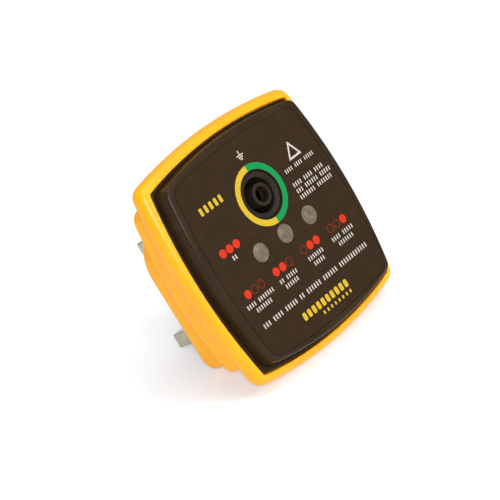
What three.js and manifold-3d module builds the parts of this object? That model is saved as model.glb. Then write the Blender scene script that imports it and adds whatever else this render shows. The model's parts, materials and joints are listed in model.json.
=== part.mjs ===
// Plug-in mains outlet tester for three-pin 13 A sockets, lying at rest on a table: it leans back
// on the lower edge of its bezel and on the tips of its two lower pins.
//
// Sizes are in millimetres. Everything is modelled in the tester's own frame first: x runs to the
// right for someone who reads the label, y runs from the label into the wall, and z runs up.
// The label lies at y = 0. At the end one group leans the whole tester back onto the table.

import * as THREE from "three";
import { mergeVertices } from "three/addons/utils/BufferGeometryUtils.js";
import Module from "manifold-3d";

const wasm = await Module();
wasm.setup();

// ---------------------------------------------------------------- driving dimensions

const GAP = 0.3; // clearance between neighbouring pieces
const ROUND = 24; // facets of an ordinary turned piece
const SMALL_ROUND = 12; // facets of a thin turned piece
const LEAD_ROUND = 6; // facets of a component lead
const CORNER_STEPS = 3; // straight steps in a rounded corner

// Bowed outlines: half widths at the two top and the two bottom corners, how far the corners lie
// above and below the middle, how far the middle of each side bulges out, and how much of each
// side a rounded corner takes.
const BEZEL = {
  topHalf: 30.2, bottomHalf: 28.7, top: 29.1, bottom: 28.9, bowX: 2.7, bowZ: 3.2, corner: 3.6,
};
const OPENING = {
  topHalf: 27.7, bottomHalf: 27.1, top: 26.6, bottom: 26.8, bowX: 2.7, bowZ: 2.9, corner: 0.5,
};
const PLATEAU = {
  topHalf: 25.7, bottomHalf: 25.0, top: 25.6, bottom: 25.4, bowX: 2.5, bowZ: 3.0, corner: 2.2,
};
const LABEL_RECESS = {
  topHalf: 24.1, bottomHalf: 24.1, top: 24.6, bottom: 24.6, bowX: 2.2, bowZ: 1.8, corner: 2.8,
};
const PLINTH = {
  topHalf: 27.4, bottomHalf: 27.4, top: 23.8, bottom: 23.8, bowX: 2.0, bowZ: 1.2, corner: 3.2,
};

const BEZEL_FRONT = 3.5;
const BEZEL_BACK = 8.9;
const BEZEL_NOSE = 3.0; // radius of the bezel's outer front edge
const BEZEL_HEEL = 1.8; // radius of its outer rear edge
const FLANGE_FRONT = 3.85; // flat flange of the cover around its plateau
const FLANGE_BACK = 5.85;
const PLATEAU_EDGE = 0.8;
const PLATEAU_DRAFT = 0.4; // how far the foot of the plateau's wall stands out
const LABEL_THICKNESS = 0.3;
const COVER_WALL = 2.4;
const COVER_SIDE_WALL = 2.2;

const PLINTH_BACK = 16.0;
const PLINTH_EDGE = 1.2;
const MATING_FACE = 28.0; // the flat rear face that meets the wall socket
const CASING_WALL = 2.0;

// The plug-shaped rear block: half width, bottom and top level, level of the shoulders, half
// width of the crown, and how much of each side the rounded corners take.
const BLOCK = {
  half: 23.8, bottom: -23.2, top: 21.8, shoulder: 12, crown: 12,
  bottomCut: 5, shoulderCut: 7.2, crownCut: 5.5,
};
const BLOCK_EDGE = 2.4;
const RATING_PLATE = { halfWidth: 8, halfHeight: 3.5, z: -4.2 };

// Pins of a 13 A plug; the earth pin is a long one.
const LINE_PIN = { width: 6.35, height: 3.97, length: 17.7 };
const EARTH_PIN = { width: 3.97, height: 7.92, length: 26.3 };
const LINE_PIN_X = 11.115;
const LINE_PIN_Z = -14.0;
const EARTH_PIN_Z = LINE_PIN_Z + 22.23;
const PIN_CHAMFER = 1.4; // length of the tapered tip
const PIN_TAPER = 1.2; // how far each side comes in over it
const SLEEVE_LENGTH = 9.5; // insulated length in front of the mating face
const SLEEVE_WALL = 0.6;
const PIN_HEAD = 1.7; // thickness of the head that keeps a pin in the casing
const PIN_HEAD_MARGIN = 0.3;
const PIN_OVERLAP = 0.5; // how far a pin runs into its own head
const TAB = { width: 3.2, height: 1.0, start: 18.5 }; // soldering tab behind each pin
const CARRIER = { front: 20.4, back: 23.3 };

// Four millimetre shrouded safety socket.
const SOCKET_Z = 10.5;
const COLLAR_RADIUS = 6.3;
const WELL_RADIUS = 4.7;
const LINER_RADIUS = 3.1;
const BORE_RADIUS = 2.07;
const BARREL_RADIUS = 5.5;
const COLLAR_FRONT = 0.35;
const COLLAR_BACK = 1.3;
const WELL_BACK = 11.5;
const SOCKET_BACK = 14.0;
const NUT = { radius: 7.4, front: 2.7, back: 5.2 };
const SOLDER_TAIL = { radius: 1.2, back: 17.2 };

// Indicator lights on the 0.4 inch grid.
const LED_PITCH = 10.16;
const LED_Z = -1.2;
const LED = { radius: 2.5, domeFront: 2.7, back: 10.6, brim: 0.4, leadX: 1.27 };
const WINDOW_RADIUS = 2.55;
const WINDOW_BACK = 2.3;
const LED_NAMES = ["left", "middle", "right"];

const BOARD = { halfWidth: 22.5, halfHeight: 20.6, corner: 3, front: 11.4, back: 13.0 };
const LEAD_RADIUS = 0.3;
const LEAD_HOLE_RADIUS = 0.6;
const LEAD_STUB = 1; // how far a lead sticks out behind the board
const WIRE_RADIUS = 0.75;

// Soldered parts: `reach` is half the distance between the leads.
const PART_ROW_Z = -10.5;
const RESISTOR = { reach: 5.08, radius: 1.5, places: [-LED_PITCH, 0, LED_PITCH] };
const DIODE = {
  reach: 3.81, radius: 1.0, places: [-1.5 * LED_PITCH, -0.5 * LED_PITCH, 0.5 * LED_PITCH],
};
const CAPACITOR = { x: -13.6, z: 10.6, reach: 3.75, width: 10.4, depth: 6.0, height: 4.6 };
const VARISTOR = { x: 13.6, z: 10.6, reach: 2.5, radius: 3.4, thickness: 2.4, standoff: 0.8 };

// Screw places, as [x, z].
const CASING_SCREWS = [[-17.9, -17.9], [17.9, -17.9], [-17.9, 2], [17.9, 2]];
const BOARD_SCREWS = [[-9.5, 16], [9.5, 16], [0, -18.8]];
const CARRIER_SCREWS = [[0, -14.2], [0, -2.4]];
const CASING_SCREW = { head: 2.35, headHeight: 2.0, shank: 1.3, length: 12, seat: 21.7 };
const BOARD_SCREW = { head: 2.0, headHeight: 1.4, shank: 1.0, length: 7.0 };
const CARRIER_SCREW = { head: 1.9, headHeight: 1.3, shank: 1.0, length: 5.8, seat: 20.1 };
const CORE_CLEARANCE = 0.3; // radial room round a screw in its hole

// Screw posts: those of the casing stand on its rear wall, those of the cover behind its face.
const CASING_POST = { radius: 3.4, front: 17.5 };
const CARRIER_PEG = { radius: 2.5, front: 23.6, holeFront: 23, holeBack: 26.9 };
const SCREW_WELL = { radius: 2.7, front: 21.4, throat: 1.7 };
const COVER_POST = { radius: 2.6, back: 17.2, holeFront: 8 };
const BOARD_POST = { radius: 2.3, holeFront: 5 };

const PAST = 1; // how far a cutting tool runs past the surface it opens

// ---------------------------------------------------------------- shape helpers

// A closed outline whose four sides bulge and whose corners are rounded, grown by `grow`.
function bowedShape(outline, grow = 0) {
  const sideSteps = 6;
  const topHalf = outline.topHalf + grow;
  const bottomHalf = outline.bottomHalf + grow;
  const top = outline.top + grow;
  const bottom = outline.bottom + grow;
  const halfHeight = (top + bottom) / 2;
  const middleZ = (top - bottom) / 2;
  const bulge = (s) => 1 - s * s;
  const sideX = (s) => {
    const straight = (topHalf + bottomHalf) / 2 + (s * (topHalf - bottomHalf)) / 2;
    return straight + outline.bowX * bulge(s);
  };
  const sides = [
    { reach: topHalf, at: (s) => [-s * topHalf, top + outline.bowZ * bulge(s)], turn: [-topHalf, top] },
    { reach: halfHeight, at: (s) => [-sideX(-s), middleZ - s * halfHeight], turn: [-bottomHalf, -bottom] },
    {
      reach: bottomHalf,
      at: (s) => [s * bottomHalf, -bottom - outline.bowZ * bulge(s)],
      turn: [bottomHalf, -bottom],
    },
    { reach: halfHeight, at: (s) => [sideX(s), middleZ + s * halfHeight], turn: [topHalf, top] },
  ];
  const shape = new THREE.Shape();
  const trims = sides.map((side) => 1 - outline.corner / side.reach);
  shape.moveTo(...sides[0].at(-trims[0]));
  sides.forEach((side, index) => {
    const following = (index + 1) % sides.length;
    for (let step = 1; step <= sideSteps; step += 1) {
      shape.lineTo(...side.at(trims[index] * ((2 * step) / sideSteps - 1)));
    }
    shape.quadraticCurveTo(...side.turn, ...sides[following].at(-trims[following]));
  });
  return shape;
}

// A closed polygon with rounded corners; each corner is [x, z, radius of its rounding].
function roundedPolygon(corners) {
  const shape = new THREE.Shape();
  const count = corners.length;
  corners.forEach(([x, z, cut], index) => {
    const here = new THREE.Vector2(x, z);
    const before = new THREE.Vector2(...corners[(index + count - 1) % count]);
    const after = new THREE.Vector2(...corners[(index + 1) % count]);
    const enter = before.sub(here).setLength(cut).add(here);
    const leave = after.sub(here).setLength(cut).add(here);
    if (index === 0) {
      shape.moveTo(enter.x, enter.y);
    } else {
      shape.lineTo(enter.x, enter.y);
    }
    shape.quadraticCurveTo(x, z, leave.x, leave.y);
  });
  shape.closePath();
  return shape;
}

// The plug-shaped rear block, narrower towards the earth pin, grown by `grow`.
function blockShape(grow = 0) {
  const half = BLOCK.half + grow;
  const bottom = BLOCK.bottom - grow;
  const top = BLOCK.top + grow;
  const shoulder = BLOCK.shoulder + grow / 2;
  const crown = BLOCK.crown + grow / 2;
  return roundedPolygon([
    [-half, bottom, BLOCK.bottomCut],
    [half, bottom, BLOCK.bottomCut],
    [half, shoulder, BLOCK.shoulderCut],
    [crown, top, BLOCK.crownCut],
    [-crown, top, BLOCK.crownCut],
    [-half, shoulder, BLOCK.shoulderCut],
  ]);
}

function rectangle(halfWidth, halfHeight, x = 0, z = 0) {
  const shape = new THREE.Shape();
  shape.moveTo(x - halfWidth, z - halfHeight);
  shape.lineTo(x + halfWidth, z - halfHeight);
  shape.lineTo(x + halfWidth, z + halfHeight);
  shape.lineTo(x - halfWidth, z + halfHeight);
  shape.closePath();
  return shape;
}

// Turns a closed geometry into a solid for joining and cutting.
function solid(geometry) {
  const bare = geometry.clone();
  bare.deleteAttribute("normal");
  bare.deleteAttribute("uv");
  const merged = mergeVertices(bare, 1e-4);
  const corners = merged.index.array;
  const triVerts = [];
  for (let i = 0; i < corners.length; i += 3) {
    const [a, b, c] = [corners[i], corners[i + 1], corners[i + 2]];
    if (a !== b && b !== c && c !== a) {
      triVerts.push(a, b, c);
    }
  }
  return new wasm.Manifold(new wasm.Mesh({
    numProp: 3,
    vertProperties: new Float32Array(merged.attributes.position.array),
    triVerts: new Uint32Array(triVerts),
  }));
}

function geometryOf(body) {
  const mesh = body.getMesh();
  const geometry = new THREE.BufferGeometry();
  geometry.setAttribute("position", new THREE.BufferAttribute(mesh.vertProperties, 3));
  geometry.setIndex(new THREE.BufferAttribute(mesh.triVerts, 1));
  return geometry;
}

// A prism whose section is drawn in x and z, from y = front to y = back.
function prism(shape, front, back) {
  const options = { depth: back - front, bevelEnabled: false, curveSegments: CORNER_STEPS };
  const geometry = new THREE.ExtrudeGeometry(shape, options);
  geometry.rotateX(Math.PI / 2);
  geometry.translate(0, back, 0);
  return solid(geometry);
}

// The same with both end edges rounded by `radius`.
function roundedPrism(shape, front, back, radius, steps = 2) {
  const geometry = new THREE.ExtrudeGeometry(shape, {
    depth: back - front - 2 * radius,
    curveSegments: CORNER_STEPS,
    bevelThickness: radius,
    bevelSize: radius,
    bevelOffset: -radius,
    bevelSegments: steps,
  });
  geometry.rotateX(Math.PI / 2);
  geometry.translate(0, back - radius, 0);
  return solid(geometry);
}

// A turned piece about the y axis at (x, z); its profile is a list of [radius, y].
function turned(profile, x = 0, z = 0, facets = ROUND) {
  const points = profile.map(([radius, y]) => new THREE.Vector2(radius, y));
  const geometry = new THREE.LatheGeometry(points, facets);
  geometry.translate(x, 0, z);
  return solid(geometry);
}

function rod(radius, front, back, x = 0, z = 0, facets = ROUND) {
  return turned([[0, front], [radius, front], [radius, back], [0, back]], x, z, facets);
}

function box(width, depth, height, x, y, z) {
  const geometry = new THREE.BoxGeometry(width, depth, height);
  geometry.translate(x, y, z);
  return solid(geometry);
}

function joined(bodies) {
  return bodies.reduce((whole, body) => whole.add(body));
}

function cut(body, tools) {
  return tools.reduce((rest, tool) => rest.subtract(tool), body);
}

// A round wire along a smooth curve through the given points.
function wire(points, radius) {
  const path = new THREE.CatmullRomCurve3(points.map((point) => new THREE.Vector3(...point)));
  const section = new THREE.Shape();
  section.absarc(0, 0, radius, 0, Math.PI * 2);
  const options = { steps: 8, curveSegments: 4, bevelEnabled: false, extrudePath: path };
  return solid(new THREE.ExtrudeGeometry(section, options));
}

// ---------------------------------------------------------------- yellow casing

function rearCasing() {
  const back = MATING_FACE - CASING_WALL;
  const seat = FLANGE_BACK + GAP;
  const bodyFront = BEZEL_FRONT + BEZEL_NOSE;
  const bezelFromHeel = roundedPrism(
    bowedShape(BEZEL), BEZEL_BACK - 2 * BEZEL_HEEL - GAP, BEZEL_BACK, BEZEL_HEEL, 3,
  );
  const bezelFromNose = roundedPrism(
    bowedShape(BEZEL), BEZEL_FRONT, BEZEL_FRONT + 2 * BEZEL_NOSE + GAP, BEZEL_NOSE, 4,
  );
  const behindBezel = prism(bowedShape(BEZEL, PAST), BEZEL_BACK - BEZEL_HEEL, MATING_FACE);
  const shell = joined([
    cut(bezelFromNose, [behindBezel]),
    bezelFromHeel,
    roundedPrism(bowedShape(PLINTH), bodyFront, PLINTH_BACK, PLINTH_EDGE),
    roundedPrism(blockShape(), bodyFront, MATING_FACE, BLOCK_EDGE),
  ]);
  const hollow = cut(shell, [
    prism(bowedShape(OPENING), BEZEL_FRONT - PAST, seat),
    prism(bowedShape(PLINTH, -CASING_WALL), seat - PAST, PLINTH_BACK - CASING_WALL),
    prism(blockShape(-CASING_WALL), seat - PAST, back),
  ]);
  const posts = CASING_SCREWS.map(([x, z]) => {
    return rod(CASING_POST.radius, CASING_POST.front, back + PAST, x, z);
  });
  const pegs = CARRIER_SCREWS.map(([x, z]) => {
    return rod(CARRIER_PEG.radius, CARRIER_PEG.front, back + PAST, x, z, SMALL_ROUND);
  });
  const wells = CASING_SCREWS.map(([x, z]) => {
    return rod(SCREW_WELL.radius, SCREW_WELL.front, MATING_FACE + PAST, x, z);
  });
  const throats = CASING_SCREWS.map(([x, z]) => {
    return rod(SCREW_WELL.throat, CASING_POST.front - PAST, MATING_FACE, x, z, SMALL_ROUND);
  });
  const pegHoles = CARRIER_SCREWS.map(([x, z]) => {
    const radius = CARRIER_SCREW.shank + CORE_CLEARANCE;
    return rod(radius, CARRIER_PEG.holeFront, CARRIER_PEG.holeBack, x, z, SMALL_ROUND);
  });
  const linePinSlots = [-LINE_PIN_X, LINE_PIN_X].map((x) => pinSlot(LINE_PIN, x, LINE_PIN_Z));
  const plateSeat = rectangle(
    RATING_PLATE.halfWidth + GAP, RATING_PLATE.halfHeight + GAP, 0, RATING_PLATE.z,
  );
  return cut(joined([hollow, ...posts, ...pegs]), [
    ...wells,
    ...throats,
    ...pegHoles,
    ...linePinSlots,
    pinSlot(EARTH_PIN, 0, EARTH_PIN_Z),
    prism(plateSeat, MATING_FACE - 2 * GAP, MATING_FACE + PAST),
  ]);
}

function pinSlot(pin, x, z) {
  const clearance = 2 * GAP;
  const depth = 2 * (CASING_WALL + PAST);
  return box(pin.width + clearance, depth, pin.height + clearance, x, MATING_FACE, z);
}

function ratingPlate() {
  const outline = rectangle(RATING_PLATE.halfWidth, RATING_PLATE.halfHeight, 0, RATING_PLATE.z);
  return prism(outline, MATING_FACE - GAP, MATING_FACE);
}

// ---------------------------------------------------------------- dark front cover and label

function frontCover() {
  const postFront = COVER_WALL - PAST;
  const plateau = roundedPrism(bowedShape(PLATEAU), 0, FLANGE_BACK, PLATEAU_EDGE);
  const foot = prism(bowedShape(PLATEAU, PLATEAU_DRAFT), FLANGE_FRONT - PLATEAU_DRAFT, FLANGE_BACK);
  const flange = prism(bowedShape(OPENING, -GAP), FLANGE_FRONT, FLANGE_BACK);
  const room = prism(bowedShape(PLATEAU, -COVER_SIDE_WALL), COVER_WALL, FLANGE_BACK + PAST);
  const recess = prism(bowedShape(LABEL_RECESS), -PAST, LABEL_THICKNESS + GAP);
  const shell = cut(joined([plateau, foot, flange]), [room, recess]);
  const casingPosts = CASING_SCREWS.map(([x, z]) => {
    return rod(COVER_POST.radius, postFront, COVER_POST.back, x, z, SMALL_ROUND);
  });
  const boardPosts = BOARD_SCREWS.map(([x, z]) => {
    return rod(BOARD_POST.radius, postFront, BOARD.front - GAP, x, z, SMALL_ROUND);
  });
  const casingHoles = CASING_SCREWS.map(([x, z]) => {
    const radius = CASING_SCREW.shank + CORE_CLEARANCE;
    return rod(radius, COVER_POST.holeFront, COVER_POST.back + PAST, x, z, SMALL_ROUND);
  });
  const boardHoles = BOARD_SCREWS.map(([x, z]) => {
    const radius = BOARD_SCREW.shank + CORE_CLEARANCE;
    return rod(radius, BOARD_POST.holeFront, BOARD.back, x, z, SMALL_ROUND);
  });
  const faceBack = COVER_WALL + PAST;
  const windowHoles = ledPlaces().map((x) => {
    return rod(WINDOW_RADIUS + GAP, -PAST, faceBack, x, LED_Z);
  });
  return cut(joined([shell, ...casingPosts, ...boardPosts]), [
    ...casingHoles,
    ...boardHoles,
    ...windowHoles,
    rod(BARREL_RADIUS + GAP, -PAST, faceBack, 0, SOCKET_Z),
    rod(COLLAR_RADIUS + GAP, -PAST, COLLAR_BACK + GAP, 0, SOCKET_Z),
  ]);
}

function ledPlaces() {
  return [-LED_PITCH, 0, LED_PITCH];
}

function labelOverlay() {
  const sheet = prism(bowedShape(LABEL_RECESS, -GAP), 0, LABEL_THICKNESS);
  const socketHole = rod(COLLAR_RADIUS + GAP, -PAST, PAST, 0, SOCKET_Z);
  const windowHoles = ledPlaces().map((x) => rod(WINDOW_RADIUS + GAP / 2, -PAST, PAST, x, LED_Z));
  return cut(sheet, [socketHole, ...windowHoles]);
}

// ---------------------------------------------------------------- indicator lights

function ledWindow() {
  const rim = 0.15;
  return turned([
    [0, 0],
    [WINDOW_RADIUS - rim, 0.04],
    [WINDOW_RADIUS, rim],
    [WINDOW_RADIUS, WINDOW_BACK],
    [0, WINDOW_BACK],
  ]);
}

function led() {
  const brimFront = LED.back - 1;
  const dome = [0, 1, 2, 3].map((step) => {
    const angle = (step * Math.PI) / 6;
    const depth = LED.radius * (1 - Math.cos(angle));
    return [LED.radius * Math.sin(angle), LED.domeFront + depth];
  });
  const body = turned([
    ...dome,
    [LED.radius, brimFront],
    [LED.radius + LED.brim, brimFront],
    [LED.radius + LED.brim, LED.back],
    [0, LED.back],
  ], 0, 0, SMALL_ROUND);
  return joined([body, ...leads([-LED.leadX, LED.leadX], LED.back - LEAD_STUB / 2)]);
}

// Straight leads at the given x, from y = front to behind the board.
function leads(places, front) {
  const back = BOARD.back + LEAD_STUB;
  return places.map((x) => rod(LEAD_RADIUS, front, back, x, 0, LEAD_ROUND));
}

// ---------------------------------------------------------------- earth test socket

function socketShroud() {
  const throat = LINER_RADIUS + GAP;
  return turned([
    [throat, SOCKET_BACK],
    [throat, WELL_BACK],
    [WELL_RADIUS, WELL_BACK],
    [WELL_RADIUS, COLLAR_FRONT],
    [COLLAR_RADIUS, COLLAR_FRONT],
    [COLLAR_RADIUS, COLLAR_BACK],
    [BARREL_RADIUS, COLLAR_BACK],
    [BARREL_RADIUS, SOCKET_BACK],
    [throat, SOCKET_BACK],
  ], 0, SOCKET_Z);
}

function socketLiner() {
  const contactRoom = 2.75;
  const contactFront = 2.2;
  const lip = -0.3; // the liner stands a little proud of the label
  return turned([
    [BORE_RADIUS, lip],
    [LINER_RADIUS, lip],
    [LINER_RADIUS, SOCKET_BACK],
    [contactRoom, SOCKET_BACK],
    [contactRoom, contactFront],
    [BORE_RADIUS, contactFront],
    [BORE_RADIUS, lip],
  ], 0, SOCKET_Z);
}

function socketContact() {
  const inner = 2.0;
  const outer = 2.45;
  const front = 2.5;
  const boreEnd = 12.5;
  const shoulder = SOCKET_BACK + 2 * GAP;
  return turned([
    [inner, front],
    [outer, front],
    [outer, shoulder],
    [SOLDER_TAIL.radius, shoulder],
    [SOLDER_TAIL.radius, SOLDER_TAIL.back],
    [0, SOLDER_TAIL.back],
    [0, boreEnd],
    [inner, boreEnd],
    [inner, front],
  ], 0, SOCKET_Z);
}

function socketNut() {
  const sides = 6;
  const hexagon = rod(NUT.radius, NUT.front, NUT.back, 0, SOCKET_Z, sides);
  return cut(hexagon, [rod(BARREL_RADIUS + GAP, NUT.front - PAST, NUT.back + PAST, 0, SOCKET_Z)]);
}

// A ring on the solder tail of the contact, with a lug for the earth wire.
function solderTag() {
  const ring = { radius: 2.3, front: 15.0, back: 15.6 };
  const lug = { width: 1.8, length: 4.2, z: 3.8 };
  const thickness = ring.back - ring.front;
  const middle = (ring.front + ring.back) / 2;
  const plate = joined([
    rod(ring.radius, ring.front, ring.back, 0, SOCKET_Z, SMALL_ROUND),
    box(lug.width, thickness, lug.length, 0, middle, SOCKET_Z + lug.z),
  ]);
  const hole = rod(SOLDER_TAIL.radius + GAP, ring.front - PAST, ring.back + PAST, 0, SOCKET_Z, SMALL_ROUND);
  return cut(plate, [hole]);
}

// ---------------------------------------------------------------- circuit board and its parts

function leadPlaces() {
  const ledRow = ledPlaces().flatMap((x) => [[x - LED.leadX, LED_Z], [x + LED.leadX, LED_Z]]);
  const upright = ({ places, reach }) => places.flatMap((x) => [
    [x, PART_ROW_Z - reach],
    [x, PART_ROW_Z + reach],
  ]);
  const across = ({ x, z, reach }) => [[x - reach, z], [x + reach, z]];
  return [
    ...ledRow,
    ...upright(RESISTOR),
    ...upright(DIODE),
    ...across(CAPACITOR),
    ...across(VARISTOR),
  ];
}

function circuitBoard() {
  const { halfWidth, halfHeight, corner } = BOARD;
  const outline = roundedPolygon([
    [-halfWidth, -halfHeight, corner],
    [halfWidth, -halfHeight, corner],
    [halfWidth, halfHeight, corner],
    [-halfWidth, halfHeight, corner],
  ]);
  const through = (radius, x, z, facets) => {
    return rod(radius, BOARD.front - PAST, BOARD.back + PAST, x, z, facets);
  };
  return cut(prism(outline, BOARD.front, BOARD.back), [
    ...CASING_SCREWS.map(([x, z]) => through(COVER_POST.radius + GAP, x, z, SMALL_ROUND)),
    ...BOARD_SCREWS.map(([x, z]) => through(BOARD_SCREW.shank + CORE_CLEARANCE, x, z, SMALL_ROUND)),
    ...leadPlaces().map(([x, z]) => through(LEAD_HOLE_RADIUS, x, z, LEAD_ROUND)),
    through(BARREL_RADIUS + GAP, 0, SOCKET_Z, ROUND),
  ]);
}

// A part lying along z with its leads bent down through the board; its profile is a list of
// [radius, z].
function axialPart(profile, { radius, reach }) {
  const y = BOARD.front - GAP - radius;
  const body = new THREE.LatheGeometry(profile.map((p) => new THREE.Vector2(...p)), SMALL_ROUND);
  body.rotateX(Math.PI / 2);
  body.translate(0, y, 0);
  const leadLength = 2 * (reach + LEAD_RADIUS);
  const along = new THREE.CylinderGeometry(LEAD_RADIUS, LEAD_RADIUS, leadLength, LEAD_ROUND);
  along.rotateX(Math.PI / 2);
  along.translate(0, y, 0);
  const legs = [-reach, reach].map((z) => {
    return rod(LEAD_RADIUS, y, BOARD.back + LEAD_STUB, 0, z, LEAD_ROUND);
  });
  return joined([solid(body), solid(along), ...legs]);
}

function resistor() {
  const half = [[1.25, 1.6], [1.5, 2.0], [1.5, 2.9], [1.35, 3.3]];
  const lower = half.map(([radius, z]) => [radius, -z]).reverse();
  return axialPart([[0, -3.3], ...lower, ...half, [0, 3.3]], RESISTOR);
}

function diode() {
  const half = 2;
  const profile = [[0, -half], [DIODE.radius, -half], [DIODE.radius, half], [0, half]];
  return axialPart(profile, DIODE);
}

function capacitor() {
  const { width, depth, height, reach } = CAPACITOR;
  const middle = BOARD.front - GAP - depth / 2;
  return joined([box(width, depth, height, 0, middle, 0), ...leads([-reach, reach], middle)]);
}

function varistor() {
  const { radius, thickness, standoff, reach } = VARISTOR;
  const middle = BOARD.front - standoff - radius;
  const disc = new THREE.CylinderGeometry(radius, radius, thickness, SMALL_ROUND);
  disc.rotateX(Math.PI / 2);
  disc.translate(0, middle, 0);
  return joined([solid(disc), ...leads([-reach, reach], middle)]);
}

// A pan-head screw driven towards -y; y = 0 is under its head.
function panHead({ head, headHeight, shank, length }) {
  return turned([
    [0, -length],
    [shank, -length],
    [shank, 0],
    [head, 0],
    [head, headHeight * 0.55],
    [head * 0.78, headHeight],
    [0, headHeight],
  ], 0, 0, SMALL_ROUND);
}

// The casing screws have a cross recess as well.
function casingScrew() {
  const { head, headHeight } = CASING_SCREW;
  const slot = head * 0.28;
  const span = head * 1.15;
  return cut(panHead(CASING_SCREW), [
    box(slot, headHeight, span, 0, headHeight, 0),
    box(span, headHeight, slot, 0, headHeight, 0),
  ]);
}

// ---------------------------------------------------------------- pins, sleeves and carrier

const HEAD_BACK = MATING_FACE - CASING_WALL - GAP;
const SLEEVE_END = MATING_FACE + SLEEVE_LENGTH;

// A bar along y whose far end is chamfered on all four sides.
function pinBar(pin, front) {
  const { width, height } = pin;
  const back = MATING_FACE + pin.length;
  const straight = back - front - PIN_CHAMFER;
  const base = new THREE.BoxGeometry(width, straight, height);
  base.translate(0, front + straight / 2, 0);
  const tip = new THREE.BoxGeometry(width, PIN_CHAMFER, height);
  tip.translate(0, back - PIN_CHAMFER / 2, 0);
  const corners = tip.attributes.position;
  for (let i = 0; i < corners.count; i += 1) {
    if (corners.getY(i) > back - PIN_CHAMFER / 2) {
      corners.setX(i, corners.getX(i) * (1 - (2 * PIN_TAPER) / width));
      corners.setZ(i, corners.getZ(i) * (1 - (2 * PIN_TAPER) / height));
    }
  }
  return joined([solid(base), solid(tip)]);
}

// The head behind the rear wall and the soldering tab.
function pinRoot(pin) {
  const margin = 2 * PIN_HEAD_MARGIN;
  const middle = HEAD_BACK - PIN_HEAD / 2;
  const head = box(pin.width + margin, PIN_HEAD, pin.height + margin, 0, middle, 0);
  const reach = HEAD_BACK - TAB.start;
  const tab = box(TAB.width, reach, TAB.height, 0, TAB.start + reach / 2, 0);
  return joined([head, tab]);
}

function linePin() {
  const neckFront = HEAD_BACK - PIN_OVERLAP;
  const barFront = SLEEVE_END + GAP;
  const thinning = 2 * (SLEEVE_WALL + GAP);
  const length = barFront + PIN_OVERLAP - neckFront;
  const width = LINE_PIN.width - thinning;
  const height = LINE_PIN.height - thinning;
  const neck = box(width, length, height, 0, neckFront + length / 2, 0);
  return joined([pinRoot(LINE_PIN), neck, pinBar(LINE_PIN, barFront)]);
}

function earthPin() {
  return joined([pinRoot(EARTH_PIN), pinBar(EARTH_PIN, HEAD_BACK - PIN_OVERLAP)]);
}

function pinSleeve() {
  const front = MATING_FACE - CASING_WALL;
  const length = SLEEVE_END - front;
  const middle = front + length / 2;
  const walls = 2 * SLEEVE_WALL;
  const outside = box(LINE_PIN.width, length, LINE_PIN.height, 0, middle, 0);
  const inside = box(LINE_PIN.width - walls, 2 * length, LINE_PIN.height - walls, 0, middle, 0);
  return cut(outside, [inside]);
}

// A T-shaped white bar that holds the three pin tabs.
function pinCarrier() {
  const { front, back } = CARRIER;
  const bar = prism(rectangle(14.4, 4.2, 0, LINE_PIN_Z), front, back);
  const stem = prism(rectangle(4.4, 13.4, 0, -1.4), front, back);
  const thickness = back - front;
  const tabs = [[-LINE_PIN_X, LINE_PIN_Z], [LINE_PIN_X, LINE_PIN_Z], [0, EARTH_PIN_Z]];
  const slots = tabs.map(([x, z]) => {
    return box(TAB.width + 2 * GAP, 2 * thickness, TAB.height + 2 * GAP, x, front + thickness / 2, z);
  });
  const holes = CARRIER_SCREWS.map(([x, z]) => {
    const radius = CARRIER_SCREW.shank + CORE_CLEARANCE;
    return rod(radius, front - PAST, back + PAST, x, z, SMALL_ROUND);
  });
  return cut(joined([bar, stem]), [...slots, ...holes]);
}

// ---------------------------------------------------------------- materials

function finish(color, roughness, metalness = 0) {
  return new THREE.MeshStandardMaterial({ color, roughness, metalness });
}

const FINISHES = {
  yellowPlastic: finish(0xf6b321, 0.42),
  blackPlastic: finish(0x2e2822, 0.45),
  labelFilm: finish(0x3a3128, 0.6),
  socketPlastic: finish(0x1c1b1a, 0.35),
  smokyLens: finish(0x7d7364, 0.3),
  redLens: finish(0xb8261c, 0.25),
  nickel: finish(0xc8c3af, 0.3, 1),
  brass: finish(0xb9994f, 0.32, 1),
  zincSteel: finish(0xb4b6b8, 0.35, 1),
  boardGreen: finish(0x1f6b3a, 0.5),
  beigeCeramic: finish(0xc9ae84, 0.6),
  blackEpoxy: finish(0x1a1a1c, 0.5),
  redFilm: finish(0x9c2f24, 0.45),
  blueEpoxy: finish(0x2b5fa8, 0.45),
  sleeveBlack: finish(0x18181a, 0.5),
  carrierWhite: finish(0xe6e2d8, 0.5),
  brownWire: finish(0x6b3f22, 0.5),
  blueWire: finish(0x2a55a5, 0.5),
  greenWire: finish(0x4f9a3a, 0.5),
  silverLabel: finish(0xc9cacb, 0.45, 0.2),
};

// ---------------------------------------------------------------- assembly

const tester = new THREE.Group();

function add(name, body, material, x = 0, y = 0, z = 0) {
  const mesh = new THREE.Mesh(geometryOf(body), material.clone());
  mesh.name = name;
  mesh.position.set(x, y, z);
  tester.add(mesh);
  return mesh;
}

add("rear_casing", rearCasing(), FINISHES.yellowPlastic);
add("front_cover", frontCover(), FINISHES.blackPlastic);
add("label_overlay", labelOverlay(), FINISHES.labelFilm);
add("rating_plate", ratingPlate(), FINISHES.silverLabel);

ledPlaces().forEach((x, index) => {
  add(`led_window_${LED_NAMES[index]}`, ledWindow(), FINISHES.smokyLens, x, 0, LED_Z);
  add(`led_${LED_NAMES[index]}`, led(), FINISHES.redLens, x, 0, LED_Z);
});

add("earth_socket_shroud", socketShroud(), FINISHES.socketPlastic);
add("earth_socket_liner", socketLiner(), FINISHES.socketPlastic);
add("earth_socket_contact", socketContact(), FINISHES.brass);
add("earth_socket_nut", socketNut(), FINISHES.socketPlastic);
add("earth_socket_tag", solderTag(), FINISHES.zincSteel);

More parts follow.
